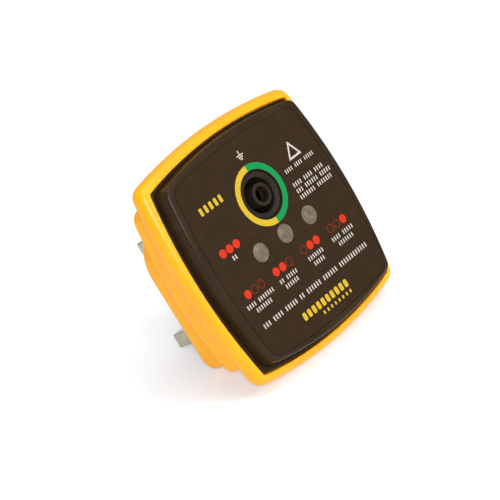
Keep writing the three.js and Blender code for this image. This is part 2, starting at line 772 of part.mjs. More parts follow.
add("circuit_board", circuitBoard(), FINISHES.boardGreen);
RESISTOR.places.forEach((x, index) => {
  add(`resistor_${index + 1}`, resistor(), FINISHES.beigeCeramic, x, 0, PART_ROW_Z);
});
DIODE.places.forEach((x, index) => {
  add(`diode_${index + 1}`, diode(), FINISHES.blackEpoxy, x, 0, PART_ROW_Z);
});
add("capacitor", capacitor(), FINISHES.redFilm, CAPACITOR.x, 0, CAPACITOR.z);
add("varistor", varistor(), FINISHES.blueEpoxy, VARISTOR.x, 0, VARISTOR.z);

add("live_pin", linePin(), FINISHES.nickel, LINE_PIN_X, 0, LINE_PIN_Z);
add("neutral_pin", linePin(), FINISHES.nickel, -LINE_PIN_X, 0, LINE_PIN_Z);
add("earth_pin", earthPin(), FINISHES.nickel, 0, 0, EARTH_PIN_Z);
add("live_pin_sleeve", pinSleeve(), FINISHES.sleeveBlack, LINE_PIN_X, 0, LINE_PIN_Z);
add("neutral_pin_sleeve", pinSleeve(), FINISHES.sleeveBlack, -LINE_PIN_X, 0, LINE_PIN_Z);
add("pin_carrier", pinCarrier(), FINISHES.carrierWhite);

CARRIER_SCREWS.forEach(([x, z], index) => {
  const name = `carrier_screw_${index + 1}`;
  const fastener = add(name, panHead(CARRIER_SCREW), FINISHES.zincSteel, x, CARRIER_SCREW.seat, z);
  fastener.rotation.x = Math.PI; // these are driven the other way, towards the rear wall
});
BOARD_SCREWS.forEach(([x, z], index) => {
  const name = `board_screw_${index + 1}`;
  add(name, panHead(BOARD_SCREW), FINISHES.zincSteel, x, BOARD.back + GAP, z);
});
CASING_SCREWS.forEach(([x, z], index) => {
  const name = `casing_screw_${index + 1}`;
  add(name, casingScrew(), FINISHES.zincSteel, x, CASING_SCREW.seat, z);
});

const wires = [
  ["live_wire", FINISHES.brownWire, [[11.1, 18.9, -12.6], [13, 17.6, -10], [13, 15.0, -7]]],
  ["neutral_wire", FINISHES.blueWire, [[-11.1, 18.9, -12.6], [-13, 17.6, -10], [-13, 15.0, -7]]],
  ["earth_wire", FINISHES.greenWire, [[0, 16.6, 14.4], [3.4, 18.4, 14.2], [2.9, 19.4, 8.2]]],
];
wires.forEach(([name, material, points]) => add(name, wire(points, WIRE_RADIUS), material));

// ---------------------------------------------------------------- resting pose

// The tester rests on the rounded rear edge of the bezel's lowest point and on the two lower
// pins. The lean makes the edge circle and the pin corners touch the same level.
const edgeY = BEZEL_BACK - BEZEL_HEEL;
const edgeZ = BEZEL_HEEL - BEZEL.bottom - BEZEL.bowZ;
const spanY = MATING_FACE + LINE_PIN.length - PIN_CHAMFER - edgeY;
const spanZ = LINE_PIN_Z - LINE_PIN.height / 2 - edgeZ;
const lean = Math.asin(BEZEL_HEEL / Math.hypot(spanY, spanZ)) + Math.atan2(spanZ, spanY);
tester.rotation.x = -lean;

// The origin is under the middle of the leaning tester, on the table.
const extent = new THREE.Box3().setFromObject(tester, true);
tester.position.y = -(extent.min.y + extent.max.y) / 2;
tester.position.z = -extent.min.z;

const restingTester = new THREE.Group();
restingTester.add(tester);

export default restingTester;
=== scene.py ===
"""Looks of the plug-in mains outlet tester: detailed pieces, materials, floor, lights and camera.

Pieces are drawn in the tester's own frame, in millimetres: x runs to the right for someone who
reads the label, y runs from the label into the wall, and z runs up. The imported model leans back
on a table, so every finished piece is moved into the row frame, in metres, by OWN_TO_ROW.
"""

import json
import math

import bpy
import numpy as np
from mathutils import Matrix, Vector


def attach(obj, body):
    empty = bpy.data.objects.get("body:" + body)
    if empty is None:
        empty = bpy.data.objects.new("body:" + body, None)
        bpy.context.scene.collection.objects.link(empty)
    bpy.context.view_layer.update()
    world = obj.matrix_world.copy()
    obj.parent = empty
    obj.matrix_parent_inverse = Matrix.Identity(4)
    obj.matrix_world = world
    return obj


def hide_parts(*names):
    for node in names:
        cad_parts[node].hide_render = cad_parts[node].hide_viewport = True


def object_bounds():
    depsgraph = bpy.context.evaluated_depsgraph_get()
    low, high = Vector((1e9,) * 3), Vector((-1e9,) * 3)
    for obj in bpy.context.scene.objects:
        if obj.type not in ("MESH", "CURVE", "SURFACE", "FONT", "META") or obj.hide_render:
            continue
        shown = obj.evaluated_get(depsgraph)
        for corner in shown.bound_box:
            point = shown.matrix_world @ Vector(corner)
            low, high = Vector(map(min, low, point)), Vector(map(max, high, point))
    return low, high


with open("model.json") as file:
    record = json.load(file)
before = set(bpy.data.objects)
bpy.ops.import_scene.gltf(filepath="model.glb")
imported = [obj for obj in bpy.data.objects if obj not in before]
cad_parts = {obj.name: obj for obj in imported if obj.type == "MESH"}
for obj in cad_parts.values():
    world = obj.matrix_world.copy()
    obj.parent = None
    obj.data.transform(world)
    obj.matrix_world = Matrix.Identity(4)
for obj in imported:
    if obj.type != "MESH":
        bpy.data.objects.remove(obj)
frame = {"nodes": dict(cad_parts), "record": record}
cad_low, cad_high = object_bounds()

MM = 0.001

# ------------------------------------------------------------------ the tester's own frame

MATING_FACE_POINT = Vector((0.0, 28.0, -14.0))  # where the mating_face mount sits, own frame


def own_to_row():
    """The move from the own frame in millimetres to the row frame in metres."""
    mount = next(m for m in frame["record"]["mounts"] if m["name"] == "mating_face")
    into_wall = Vector(mount["axis"]).normalized()
    right = Vector((1.0, 0.0, 0.0))
    up = right.cross(into_wall)
    turn = Matrix((right, into_wall, up)).transposed()
    origin = Vector(mount["pos_m"]) - turn @ MATING_FACE_POINT * MM
    return Matrix.Translation(origin) @ turn.to_4x4() @ Matrix.Scale(MM, 4)


OWN_TO_ROW = own_to_row()
ROW_TO_OWN = OWN_TO_ROW.inverted()


def own_box(node):
    """Lowest and highest corner of a CAD node in the own frame, in millimetres."""
    points = np.array([ROW_TO_OWN @ v.co for v in frame["nodes"][node].data.vertices])
    return Vector(points.min(axis=0)), Vector(points.max(axis=0))


# ------------------------------------------------------------------ driving dimensions, mm

# Bowed outlines: half widths at the two top and the two bottom corners, how far the corners lie
# above and below the middle, how far the middle of each side bulges out, and how much of each
# side a rounded corner takes.


def bowed_sizes(top_half, bottom_half, top, bottom, bow_x, bow_z, corner):
    return {"top_half": top_half, "bottom_half": bottom_half, "top": top, "bottom": bottom,
            "bow_x": bow_x, "bow_z": bow_z, "corner": corner}


BEZEL = bowed_sizes(30.1, 28.65, 29.1, 28.9, 2.6, 3.15, 2.9)
OPENING = bowed_sizes(27.55, 26.95, 26.6, 26.8, 2.7, 2.9, 0.5)
PLATEAU = bowed_sizes(26.1, 25.0, 25.6, 25.3, 2.6, 2.95, 1.7)
HOLLOW_CORNER = 5.0  # corner of the room inside the cover
RECESS = bowed_sizes(24.1, 24.1, 24.6, 24.6, 2.2, 1.8, 2.8)
PLINTH = bowed_sizes(27.4, 27.4, 23.8, 23.8, 2.0, 1.2, 3.2)
BLOCK = {"half": 23.8, "bottom": -23.2, "top": 21.8, "shoulder": 12.0, "crown": 12.0}
BLOCK_CUTS = {"bottom": 5.0, "shoulder": 6.4, "crown": 5.5}

BEZEL_FRONT, BEZEL_BACK = 3.8, 8.9
BEZEL_NOSE, BEZEL_HEEL = 3.0, 1.8  # depth of its rounded front, radius of its rear edge
FLANGE_FRONT, FLANGE_BACK = 4.1, 5.85
PLATEAU_EDGE, PLATEAU_DRAFT = 0.8, 0.4
COVER_WALL = 2.4
LABEL_SEAT = 0.3
PLINTH_BACK, PLINTH_EDGE = 16.0, 1.0
MATING_FACE, BLOCK_EDGE = 28.0, 2.4
CASING_WALL = 2.0
SEAT = 6.15
FINE = 0.12  # gap that shows between neighbouring pieces
LABEL_GAP = 0.2  # dark line round the label

SOCKET_Z = 10.5
COLLAR_RADIUS, WELL_RADIUS, LINER_RADIUS, BORE_RADIUS = 6.3, 4.7, 3.1, 2.07
BARREL_RADIUS = 5.5
LED_PITCH, LED_Z, WINDOW_RADIUS = 10.16, -1.2, 2.55
LED_NAMES = {"left": -LED_PITCH, "middle": 0.0, "right": LED_PITCH}

LINE_PIN_X, LINE_PIN_Z, EARTH_PIN_Z = 11.115, -14.0, 8.23
PIN_PLACES = {
    "live_pin": (LINE_PIN_X, LINE_PIN_Z),
    "neutral_pin": (-LINE_PIN_X, LINE_PIN_Z),
    "earth_pin": (0.0, EARTH_PIN_Z),
}
LINE_BAR, EARTH_BAR = (6.35, 3.97), (3.97, 7.92)
BAR_SIZES = {"live_pin": LINE_BAR, "neutral_pin": LINE_BAR, "earth_pin": EARTH_BAR}
# The part of each bar inside the casing, as blocks of (half sizes across, front, back).
LINE_ROOT = [((2.3, 1.1), 25.2, 37.75), ((3.4, 2.2), 24.0, 25.3), ((1.6, 0.5), 18.5, 24.1)]
EARTH_ROOT = [((2.2, 4.2), 24.0, 25.3), ((1.6, 0.5), 18.5, 24.1)]
BARS_INSIDE = {"live_pin": LINE_ROOT, "neutral_pin": LINE_ROOT, "earth_pin": EARTH_ROOT}
CASING_SCREWS = [(-17.9, -17.9), (17.9, -17.9), (-17.9, 2.0), (17.9, 2.0)]
SCREW_WELL_RADIUS = 2.7
BOARD_STUDS = [(-9.5, 16.0), (9.5, 16.0), (0.0, -18.8)]
CARRIER_PEG_HEIGHTS = (-14.2, -2.4)
BEYOND = 1.0  # how far a cutter runs past the surface that it opens

# ------------------------------------------------------------------ outlines

AROUND = 480  # points around a large loft
CORNER_POINTS = 24
SIDE_POINTS = 40
READINGS = 20  # points along an outline for each one that is read from it


def bezier(start, turn, end, count=CORNER_POINTS):
    """Points of a rounded corner, without its last one."""
    t = np.linspace(0, 1, count, endpoint=False)[:, None]
    start, turn, end = np.array(start), np.array(turn), np.array(end)
    return (1 - t) ** 2 * start + 2 * t * (1 - t) * turn + t**2 * end


def bowed(top_half, bottom_half, top, bottom, bow_x, bow_z, corner):
    """A closed outline with four bulging sides and rounded corners, against the clock."""
    half_height, middle = (top + bottom) / 2, (top - bottom) / 2

    def side(s):
        straight = (top_half + bottom_half) / 2 + s * (top_half - bottom_half) / 2
        return straight + bow_x * (1 - s * s)

    sides = [
        (top_half, lambda s: (-s * top_half, top + bow_z * (1 - s * s)), (-top_half, top)),
        (half_height, lambda s: (-side(-s), middle - s * half_height), (-bottom_half, -bottom)),
        (bottom_half, lambda s: (s * bottom_half, -bottom - bow_z * (1 - s * s)),
         (bottom_half, -bottom)),
        (half_height, lambda s: (side(s), middle + s * half_height), (top_half, top)),
    ]
    points = []
    for index, (reach, at, turn) in enumerate(sides):
        next_reach, next_at, _ = sides[(index + 1) % 4]
        trim, next_trim = 1 - corner / reach, 1 - corner / next_reach
        points += [at(s) for s in np.linspace(-trim, trim, SIDE_POINTS, endpoint=False)]
        points += [tuple(p) for p in bezier(at(trim), turn, next_at(-next_trim))]
    return np.array(points)


def polygon(corners):
    """A closed polygon with rounded corners; each corner is (x, z, length of the cut)."""
    points = []
    for index, (x, z, cut) in enumerate(corners):
        here = Vector((x, z))
        before = Vector(corners[index - 1][:2])
        after = Vector(corners[(index + 1) % len(corners)][:2])
        enter = here + (before - here).normalized() * cut
        leave = here + (after - here).normalized() * cut
        points += [tuple(p) for p in bezier(enter, here, leave)]
        points.append(tuple(leave))
    return np.array(points)


def block_outline():
    """The plug-shaped rear block, narrower towards the earth pin."""
    half, bottom, top = BLOCK["half"], BLOCK["bottom"], BLOCK["top"]
    shoulder, crown = BLOCK["shoulder"], BLOCK["crown"]
    return polygon([
        (-half, bottom, BLOCK_CUTS["bottom"]),
        (half, bottom, BLOCK_CUTS["bottom"]),
        (half, shoulder, BLOCK_CUTS["shoulder"]),
        (crown, top, BLOCK_CUTS["crown"]),
        (-crown, top, BLOCK_CUTS["crown"]),
        (-half, shoulder, BLOCK_CUTS["shoulder"]),
    ])


def circle(radius, x=0.0, z=0.0, count=64):
    angle = np.linspace(0, 2 * math.pi, count, endpoint=False)
    return np.column_stack([x + radius * np.cos(angle), z + radius * np.sin(angle)])


def rounded_box(half_width, half_height, radius, x=0.0, z=0.0, steps=6):
    """A rectangle with round corners, against the clock."""
    points = []
    for quarter, (sx, sz) in enumerate([(1, 1), (-1, 1), (-1, -1), (1, -1)]):
        for step in range(steps + 1):
            angle = (quarter + step / steps) * math.pi / 2
            points.append((
                x + sx * (half_width - radius) + radius * math.cos(angle),
                z + sz * (half_height - radius) + radius * math.sin(angle),
            ))
    return np.array(points)


def moved_in(points, inset):
    """An outline moved inwards by `inset`, or outwards if it is negative."""
    along = np.roll(points, -1, axis=0) - np.roll(points, 1, axis=0)
    outward = np.column_stack([along[:, 1], -along[:, 0]])
    outward /= np.linalg.norm(outward, axis=1)[:, None]
    return points - inset * outward


def evenly(points, count=AROUND):
    """An outline read at `count` even angles about the middle, so that lofts match up."""
    closed = np.vstack([points, points[:1]])
    steps = np.linalg.norm(np.diff(closed, axis=0), axis=1)
    travelled = np.concatenate([[0.0], np.cumsum(steps)])
    wanted = np.linspace(0, travelled[-1], READINGS * count, endpoint=False)
    points = np.column_stack([np.interp(wanted, travelled, closed[:, i]) for i in (0, 1)])
    angle = np.arctan2(points[:, 1], points[:, 0]) % (2 * math.pi)
    radius = np.hypot(points[:, 0], points[:, 1])
    order = np.argsort(angle)
    wanted = np.linspace(0, 2 * math.pi, count, endpoint=False)
    read = np.interp(wanted, angle[order], radius[order], period=2 * math.pi)
    return np.column_stack([read * np.cos(wanted), read * np.sin(wanted)])


# ------------------------------------------------------------------ meshes


def make_object(name, vertices, faces):
    mesh = bpy.data.meshes.new(name)
    mesh.from_pydata([tuple(map(float, v)) for v in vertices], [], faces)
    mesh.validate()
    made = bpy.data.objects.new(name, mesh)
    bpy.context.scene.collection.objects.link(made)
    return made


def level(points, y):
    """An outline as a ring of 3-D points at one y."""
    return np.column_stack([points[:, 0], np.full(len(points), y), points[:, 1]])


def bridge(first, second, count):
    return [
        (first + i, first + (i + 1) % count, second + (i + 1) % count, second + i)
        for i in range(count)
    ]


def loft(name, rings, closed=False):
    """A body through rings of equally many points, capped at its ends unless it is closed."""
    count = len(rings[0])
    vertices = np.concatenate(rings)
    faces = []
    for index in range(len(rings) - 1):
        faces += bridge((index + 1) * count, index * count, count)
    if closed:
        faces += bridge(0, (len(rings) - 1) * count, count)
    else:
        faces.append(tuple(range(count)))
        faces.append(tuple(reversed(range(len(vertices) - count, len(vertices)))))
    return make_object(name, vertices, faces)


def arc(centre, radius, start, end, steps=8):
    """Points (inset or radius, y) on an arc; angles are in degrees from the first axis to y."""
    angles = np.radians(np.linspace(start, end, steps + 1))
    return [(centre[0] + radius * math.cos(a), centre[1] + radius * math.sin(a)) for a in angles]


def swept(outline, profile):
    """Rings of an outline moved in or out along a profile of (inset, y)."""
    return [level(moved_in(outline, inset), y) for inset, y in profile]


def turned(name, profile, x=0.0, z=0.0, count=96):
    """A turned body about the y axis at (x, z); its closed profile is a list of (radius, y)."""
    angle = np.linspace(0, 2 * math.pi, count, endpoint=False)
    rings = [
        np.column_stack([x + r * np.cos(angle), np.full(count, y), z + r * np.sin(angle)])
        for r, y in profile
    ]
    return loft(name, rings, closed=True)


def turned_solid(name, profile, x=0.0, z=0.0, count=96):
    """The same for a profile that starts and ends on a flat cap."""
    angle = np.linspace(0, 2 * math.pi, count, endpoint=False)
    rings = [
        np.column_stack([x + r * np.cos(angle), np.full(count, y), z + r * np.sin(angle)])
        for r, y in profile
    ]
    return loft(name, rings)


def plate(name, outline, front, back):
    return loft(name, [level(outline, front), level(outline, back)])


def joined(name, parts):
    """Several separate bodies as one object."""
    vertices, faces = [], []
    for part in parts:
        start = len(vertices)
        vertices += [tuple(v.co) for v in part.data.vertices]
        faces += [tuple(start + i for i in face.vertices) for face in part.data.polygons]
        bpy.data.objects.remove(part)
    return make_object(name, vertices, faces)


def boolean(body, tool, operation):
    """Joins or cuts the body with the tool, which is then removed."""
    modifier = body.modifiers.new(operation, "BOOLEAN")
    modifier.operation = operation
    modifier.solver = "EXACT"
    modifier.object = tool
    graph = bpy.context.evaluated_depsgraph_get()
    body.data = bpy.data.meshes.new_from_object(body.evaluated_get(graph))
    body.modifiers.clear()
    bpy.data.objects.remove(tool)
    return body


def cut(body, tools):
    return boolean(body, joined("tools", tools), "DIFFERENCE")


def settle(piece, material, slot, *nodes, sharp=32.0):
    """Moves a finished piece into the row frame and lets it stand for its CAD nodes."""
    piece.data.transform(OWN_TO_ROW)
    piece.data.materials.clear()
    piece.data.materials.append(material)
    for polygon_ in piece.data.polygons:
        polygon_.use_smooth = True
    piece.data.set_sharp_from_angle(angle=math.radians(sharp))
    weighted = piece.modifiers.new("weighted_normals", "WEIGHTED_NORMAL")
    weighted.keep_sharp = True
    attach(piece, "root")
    if nodes:
        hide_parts(*nodes)
    return piece


# ------------------------------------------------------------------ material helpers


def srgb(red, green, blue):
    """A colour given in 0 to 255 display values, as the linear values that shaders take."""
    def linear(value):
        value /= 255
        return value / 12.92 if value <= 0.04045 else ((value + 0.055) / 1.055) ** 2.4
    return (linear(red), linear(green), linear(blue), 1.0)


def new_material(name, **values):
    """A material with one principled shader; values are its own sockets, with _ for a space."""
    material = bpy.data.materials.new(name)
    material.use_nodes = True
    shader = material.node_tree.nodes["Principled BSDF"]
    for socket, value in values.items():
        shader.inputs[socket.replace("_", " ")].default_value = value
    return material


def add(material, kind, **values):
    node = material.node_tree.nodes.new(kind)
    for socket, value in values.items():
        node.inputs[socket.replace("_", " ")].default_value = value
    return node


def link(material, source, target):
    material.node_tree.links.new(source, target)


def shader_input(material, socket):
    return material.node_tree.nodes["Principled BSDF"].inputs[socket]


def place(material, stretch=None):
    """Object coordinates, squeezed along the tester's own axes by `stretch` if it is given."""
    source = add(material, "ShaderNodeTexCoord").outputs["Object"]
    if stretch is None:
        return source
    lean = OWN_TO_ROW.to_euler().x
    turn = add(material, "ShaderNodeMapping", Rotation=(-lean, 0.0, 0.0))
    squeeze = add(material, "ShaderNodeMapping", Scale=stretch)
    link(material, source, turn.inputs["Vector"])
    link(material, turn.outputs["Vector"], squeeze.inputs["Vector"])
    return squeeze.outputs["Vector"]


def noise(material, size, detail=3.0, roughness=0.55, stretch=None):
    """Noise whose features are about `size` millimetres across."""
    node = add(material, "ShaderNodeTexNoise", Scale=1 / (size * MM), Detail=detail)
    node.inputs["Roughness"].default_value = roughness
    link(material, place(material, stretch), node.inputs["Vector"])
    return node.outputs["Fac"]


def ramp(material, factor, *stops):
    """Colours over a factor; each stop is (position, colour)."""
    node = add(material, "ShaderNodeValToRGB")
    elements = node.color_ramp.elements
    while len(elements) < len(stops):
        elements.new(0.5)
    for element, (position, colour) in zip(elements, stops):
        element.position = position
        element.color = colour
    link(material, factor, node.inputs["Fac"])
    return node.outputs["Color"]


def spread(material, factor, low, high, from_low=0.3, from_high=0.7):
    node = add(material, "ShaderNodeMapRange", From_Min=from_low, From_Max=from_high)
    node.inputs["To Min"].default_value = low
    node.inputs["To Max"].default_value = high
    link(material, factor, node.inputs["Value"])
    return node.outputs["Result"]


def mixed(material, factor, first, second, blend="MIX"):
    node = material.node_tree.nodes.new("ShaderNodeMix")
    node.data_type = "RGBA"
    node.blend_type = blend
    link(material, factor, node.inputs["Factor"])
    link(material, first, node.inputs["A"])
    link(material, second, node.inputs["B"])
    return node.outputs["Result"]


def bump(material, height, depth, strength=1.0, onto=None):
    """A normal from a height; depth is in millimetres."""
    node = add(material, "ShaderNodeBump", Strength=strength, Distance=depth * MM)
    link(material, height, node.inputs["Height"])
    if onto is not None:
        link(material, onto, node.inputs["Normal"])
    return node.outputs["Normal"]


# ------------------------------------------------------------------ materials


def moulded(name, dark, light, grain=0.22, depth=0.012, roughness=(0.36, 0.5), **values):
    """Moulded plastic: a slow drift of colour, and a fine spark-eroded grain."""
    material = new_material(name, **values)
    drift = noise(material, 9.0, detail=2.0)
    link(material, ramp(material, drift, (0.3, dark), (0.7, light)),
         shader_input(material, "Base Color"))
    fine = noise(material, grain, detail=4.0, roughness=0.65)
    link(material, spread(material, fine, *roughness), shader_input(material, "Roughness"))
    link(material, bump(material, fine, depth), shader_input(material, "Normal"))
    return material


def casing_yellow():
    return moulded(
        "casing_yellow", srgb(232, 158, 4), srgb(237, 165, 7), grain=0.3, depth=0.008,
        roughness=(0.28, 0.36), Specular_IOR_Level=0.3, Subsurface_Weight=0.1,
        Subsurface_Scale=0.002, Subsurface_Radius=(1.0, 0.5, 0.1),
    )


def cover_black():
    return moulded(
        "cover_black", srgb(40, 28, 15), srgb(48, 35, 20), grain=0.25, depth=0.003,
        roughness=(0.2, 0.27), Specular_IOR_Level=0.12,
    )


def label_film():
    """Matt printed film: a brown-black ground with a fine speckle."""
    material = new_material("label_film", Specular_IOR_Level=0.03)
    speckle = noise(material, 0.22, detail=5.0, roughness=0.7)
    cloud = noise(material, 5.0, detail=2.0)
    ground = ramp(material, speckle, (0.3, srgb(32, 21, 11)), (0.72, srgb(58, 45, 30)))
    warm = ramp(material, cloud, (0.35, srgb(40, 28, 17)), (0.65, srgb(50, 36, 22)))
    share = add(material, "ShaderNodeMath")
    share.operation = "MULTIPLY"
    share.inputs[1].default_value = 0.8
    link(material, cloud, share.inputs[0])
    link(material, mixed(material, share.outputs["Value"], ground, warm),
         shader_input(material, "Base Color"))
    link(material, spread(material, speckle, 0.48, 0.62), shader_input(material, "Roughness"))
    link(material, bump(material, speckle, 0.012), shader_input(material, "Normal"))
    return material


def ink(name, dark, light):
    """Screen-printed ink: slightly uneven colour and a dry surface."""
    material = new_material(name, Specular_IOR_Level=0.05)
    uneven = noise(material, 0.35, detail=4.0, roughness=0.7)
    link(material, ramp(material, uneven, (0.3, dark), (0.7, light)),
         shader_input(material, "Base Color"))
    link(material, spread(material, uneven, 0.42, 0.58), shader_input(material, "Roughness"))
    link(material, bump(material, uneven, 0.006), shader_input(material, "Normal"))
    return material


def window_smoke():
    """Smoky acrylic lens with lighter streaks: a painted highlight of the LED dome behind it."""
    material = new_material("window_smoke", Specular_IOR_Level=0.2, Coat_Weight=0.08,
                            Coat_Roughness=0.2)
    cloud = noise(material, 1.6, detail=3.0)
    # The second noise picks out lighter streaks: a painted highlight of the LED behind the lens,
    # mixed into the base colour.
    glint_mask = noise(material, 1.1, detail=1.0)
    body = ramp(material, cloud, (0.3, srgb(86, 75, 62)), (0.7, srgb(100, 88, 74)))
    painted_glint = ramp(material, glint_mask, (0.42, srgb(90, 79, 66)), (0.68, srgb(112, 101, 88)))
    link(material, mixed(material, glint_mask, body, painted_glint), shader_input(material, "Base Color"))
    link(material, spread(material, cloud, 0.28, 0.4), shader_input(material, "Roughness"))
    link(material, bump(material, cloud, 0.03), shader_input(material, "Normal"))
    return material


def brushed(name, dark, light, roughness=(0.24, 0.4), stretch=(1.0, 0.04, 1.0), grain=0.12):
    """Metal with fine marks drawn out along the pins."""
    material = new_material(name, Metallic=1.0)
    marks = noise(material, grain, detail=4.0, roughness=0.6, stretch=stretch)
    tone = noise(material, 3.0, detail=3.0)
    link(material, ramp(material, tone, (0.3, dark), (0.7, light)),
         shader_input(material, "Base Color"))
    link(material, spread(material, marks, *roughness), shader_input(material, "Roughness"))
    link(material, bump(material, marks, 0.006), shader_input(material, "Normal"))
    return material


def banded_ceramic():
    """Resistor body: beige lacquer with colour bands across its length."""
    material = new_material("resistor_beige", Roughness=0.45)
    source = place(material, stretch=(0.0, 0.0, 1 / (1.05 * MM)))
    waves = add(material, "ShaderNodeTexWave", Scale=0.5, Distortion=0.0)
    waves.bands_direction = "Z"
    link(material, source, waves.inputs["Vector"])
    speckle = noise(material, 0.3, detail=3.0)
    body = ramp(material, speckle, (0.3, srgb(196, 168, 124)), (0.7, srgb(208, 182, 140)))
    bands = ramp(material, speckle, (0.3, srgb(112, 48, 28)), (0.7, srgb(128, 60, 34)))
    mask = spread(material, waves.outputs["Fac"], 0.0, 1.0, 0.86, 0.9)
    link(material, mixed(material, mask, body, bands), shader_input(material, "Base Color"))
    link(material, bump(material, speckle, 0.01), shader_input(material, "Normal"))
    return material


def table_white():
    material = new_material("table_white", Specular_IOR_Level=0.1, Emission_Strength=1.0)
    mottle = noise(material, 40.0, detail=3.0)
    link(material, ramp(material, mottle, (0.3, srgb(210, 212, 215)), (0.7, srgb(214, 216, 219))),
         shader_input(material, "Base Color"))
    glow = ramp(material, mottle, (0.3, srgb(146, 150, 155)), (0.7, srgb(148, 152, 157)))
    link(material, glow, shader_input(material, "Emission Color"))
    link(material, spread(material, mottle, 0.6, 0.7), shader_input(material, "Roughness"))
    return material


YELLOW = casing_yellow()
COVER = cover_black()
LABEL = label_film()
SMOKE = window_smoke()
SOCKET = moulded("socket_black", srgb(28, 23, 16), srgb(37, 31, 22), depth=0.004,
                 roughness=(0.4, 0.5), Specular_IOR_Level=0.12)
SLEEVE = moulded("sleeve_black", srgb(20, 20, 21), srgb(28, 28, 29), depth=0.008,
                 roughness=(0.42, 0.55))
CARRIER = moulded("carrier_white", srgb(222, 218, 208), srgb(232, 229, 221))
NICKEL = brushed("pin_nickel", srgb(170, 164, 142), srgb(188, 182, 162))
BRASS = brushed("contact_brass", srgb(72, 56, 32), srgb(88, 70, 42))
ZINC = brushed("screw_zinc", srgb(172, 174, 178), srgb(192, 194, 196), stretch=(1.0, 0.3, 1.0))
SILVER = ink("rating_film", srgb(186, 187, 188), srgb(200, 201, 202))
WHITE_INK = ink("white_ink", srgb(166, 158, 148), srgb(188, 180, 170))
GREY_INK = ink("grey_ink", srgb(74, 75, 78), srgb(88, 89, 92))
RED_INK = ink("red_ink", srgb(176, 42, 20), srgb(190, 50, 26))
DIM_RED_INK = ink("dim_red_ink", srgb(120, 34, 24), srgb(138, 42, 30))
YELLOW_INK = ink("yellow_ink", srgb(176, 146, 38), srgb(190, 158, 46))
GREEN_INK = ink("green_ink", srgb(10, 120, 64), srgb(18, 132, 72))
INSIDE = {
    "led_red": moulded("led_red", srgb(176, 34, 26), srgb(192, 42, 32), Coat_Weight=0.5),
    "board_green": moulded("board_green", srgb(24, 96, 52), srgb(34, 112, 62), grain=0.5),
    "resistor_beige": banded_ceramic(),
    "diode_black": moulded("diode_black", srgb(22, 22, 24), srgb(32, 32, 34)),
    "capacitor_red": moulded("capacitor_red", srgb(146, 42, 34), srgb(162, 52, 42)),
    "varistor_blue": moulded("varistor_blue", srgb(36, 86, 160), srgb(48, 100, 176)),
    "wire_brown": moulded("wire_brown", srgb(100, 58, 32), srgb(112, 66, 38)),
    "wire_blue": moulded("wire_blue", srgb(36, 78, 156), srgb(48, 90, 170)),
    "wire_green": moulded("wire_green", srgb(72, 146, 54), srgb(84, 158, 64)),
    "socket_black": SOCKET,
    "carrier_white": CARRIER,
    "screw_zinc": ZINC,
    "contact_brass": BRASS,
}

# ------------------------------------------------------------------ yellow casing


def casing_rings():
    """From the inside of the rear wall, round the front lip, to the middle of the rear face."""
    bezel = evenly(bowed(**BEZEL))
    opening = evenly(bowed(**OPENING))
    plinth = evenly(bowed(**PLINTH))
    block = evenly(block_outline())
    lip = 0.3
    inner_corner = 0.6
    rear_wall = MATING_FACE - CASING_WALL
    step = PLINTH_BACK - CASING_WALL
    inside_block = swept(block, [
        (CASING_WALL + inner_corner, rear_wall),
        *arc((CASING_WALL + inner_corner, rear_wall - inner_corner), inner_corner, 90, 180, 4),
        (CASING_WALL, step),
    ])
    inside_plinth = swept(plinth, [(CASING_WALL, step), (CASING_WALL, SEAT)])
    front_lip = swept(opening, [
        (0.0, SEAT),
        *arc((-lip, BEZEL_FRONT + lip), lip, 0, -90, 5),
    ])
    crest = moved_in(opening, -lip)
    nose_start, nose_steps = 6, 15  # degrees past the crest, number of rings
    nose = [
        level(crest + (bezel - crest) * math.sin(turn),
              BEZEL_FRONT + BEZEL_NOSE * (1 - math.cos(turn)))
        for turn in np.radians(np.linspace(nose_start, 90, nose_steps))
    ]
    heel = swept(bezel, [
        *arc((BEZEL_HEEL, BEZEL_BACK - BEZEL_HEEL), BEZEL_HEEL, 180, 90, 12),
    ])
    plinth_skin = swept(plinth, [
        (0.0, BEZEL_BACK),
        *arc((PLINTH_EDGE, PLINTH_BACK - PLINTH_EDGE), PLINTH_EDGE, 180, 90, 8),
    ])
    block_skin = swept(block, [
        (0.0, PLINTH_BACK),
        *arc((BLOCK_EDGE, MATING_FACE - BLOCK_EDGE), BLOCK_EDGE, 180, 90, 12),
    ])
    return [*inside_block, *inside_plinth, *front_lip, *nose, *heel, *plinth_skin, *block_skin]


def flared_hole(name, outline, depth, rim=0.3):
    """A cutter for a hole through the mating face, with a rounded rim."""
    return loft(name, swept(outline, [
        (0.0, MATING_FACE - depth),
        *arc((-rim, MATING_FACE - rim), rim, 0, 80, 5),
        (-rim, MATING_FACE + BEYOND),
    ]))


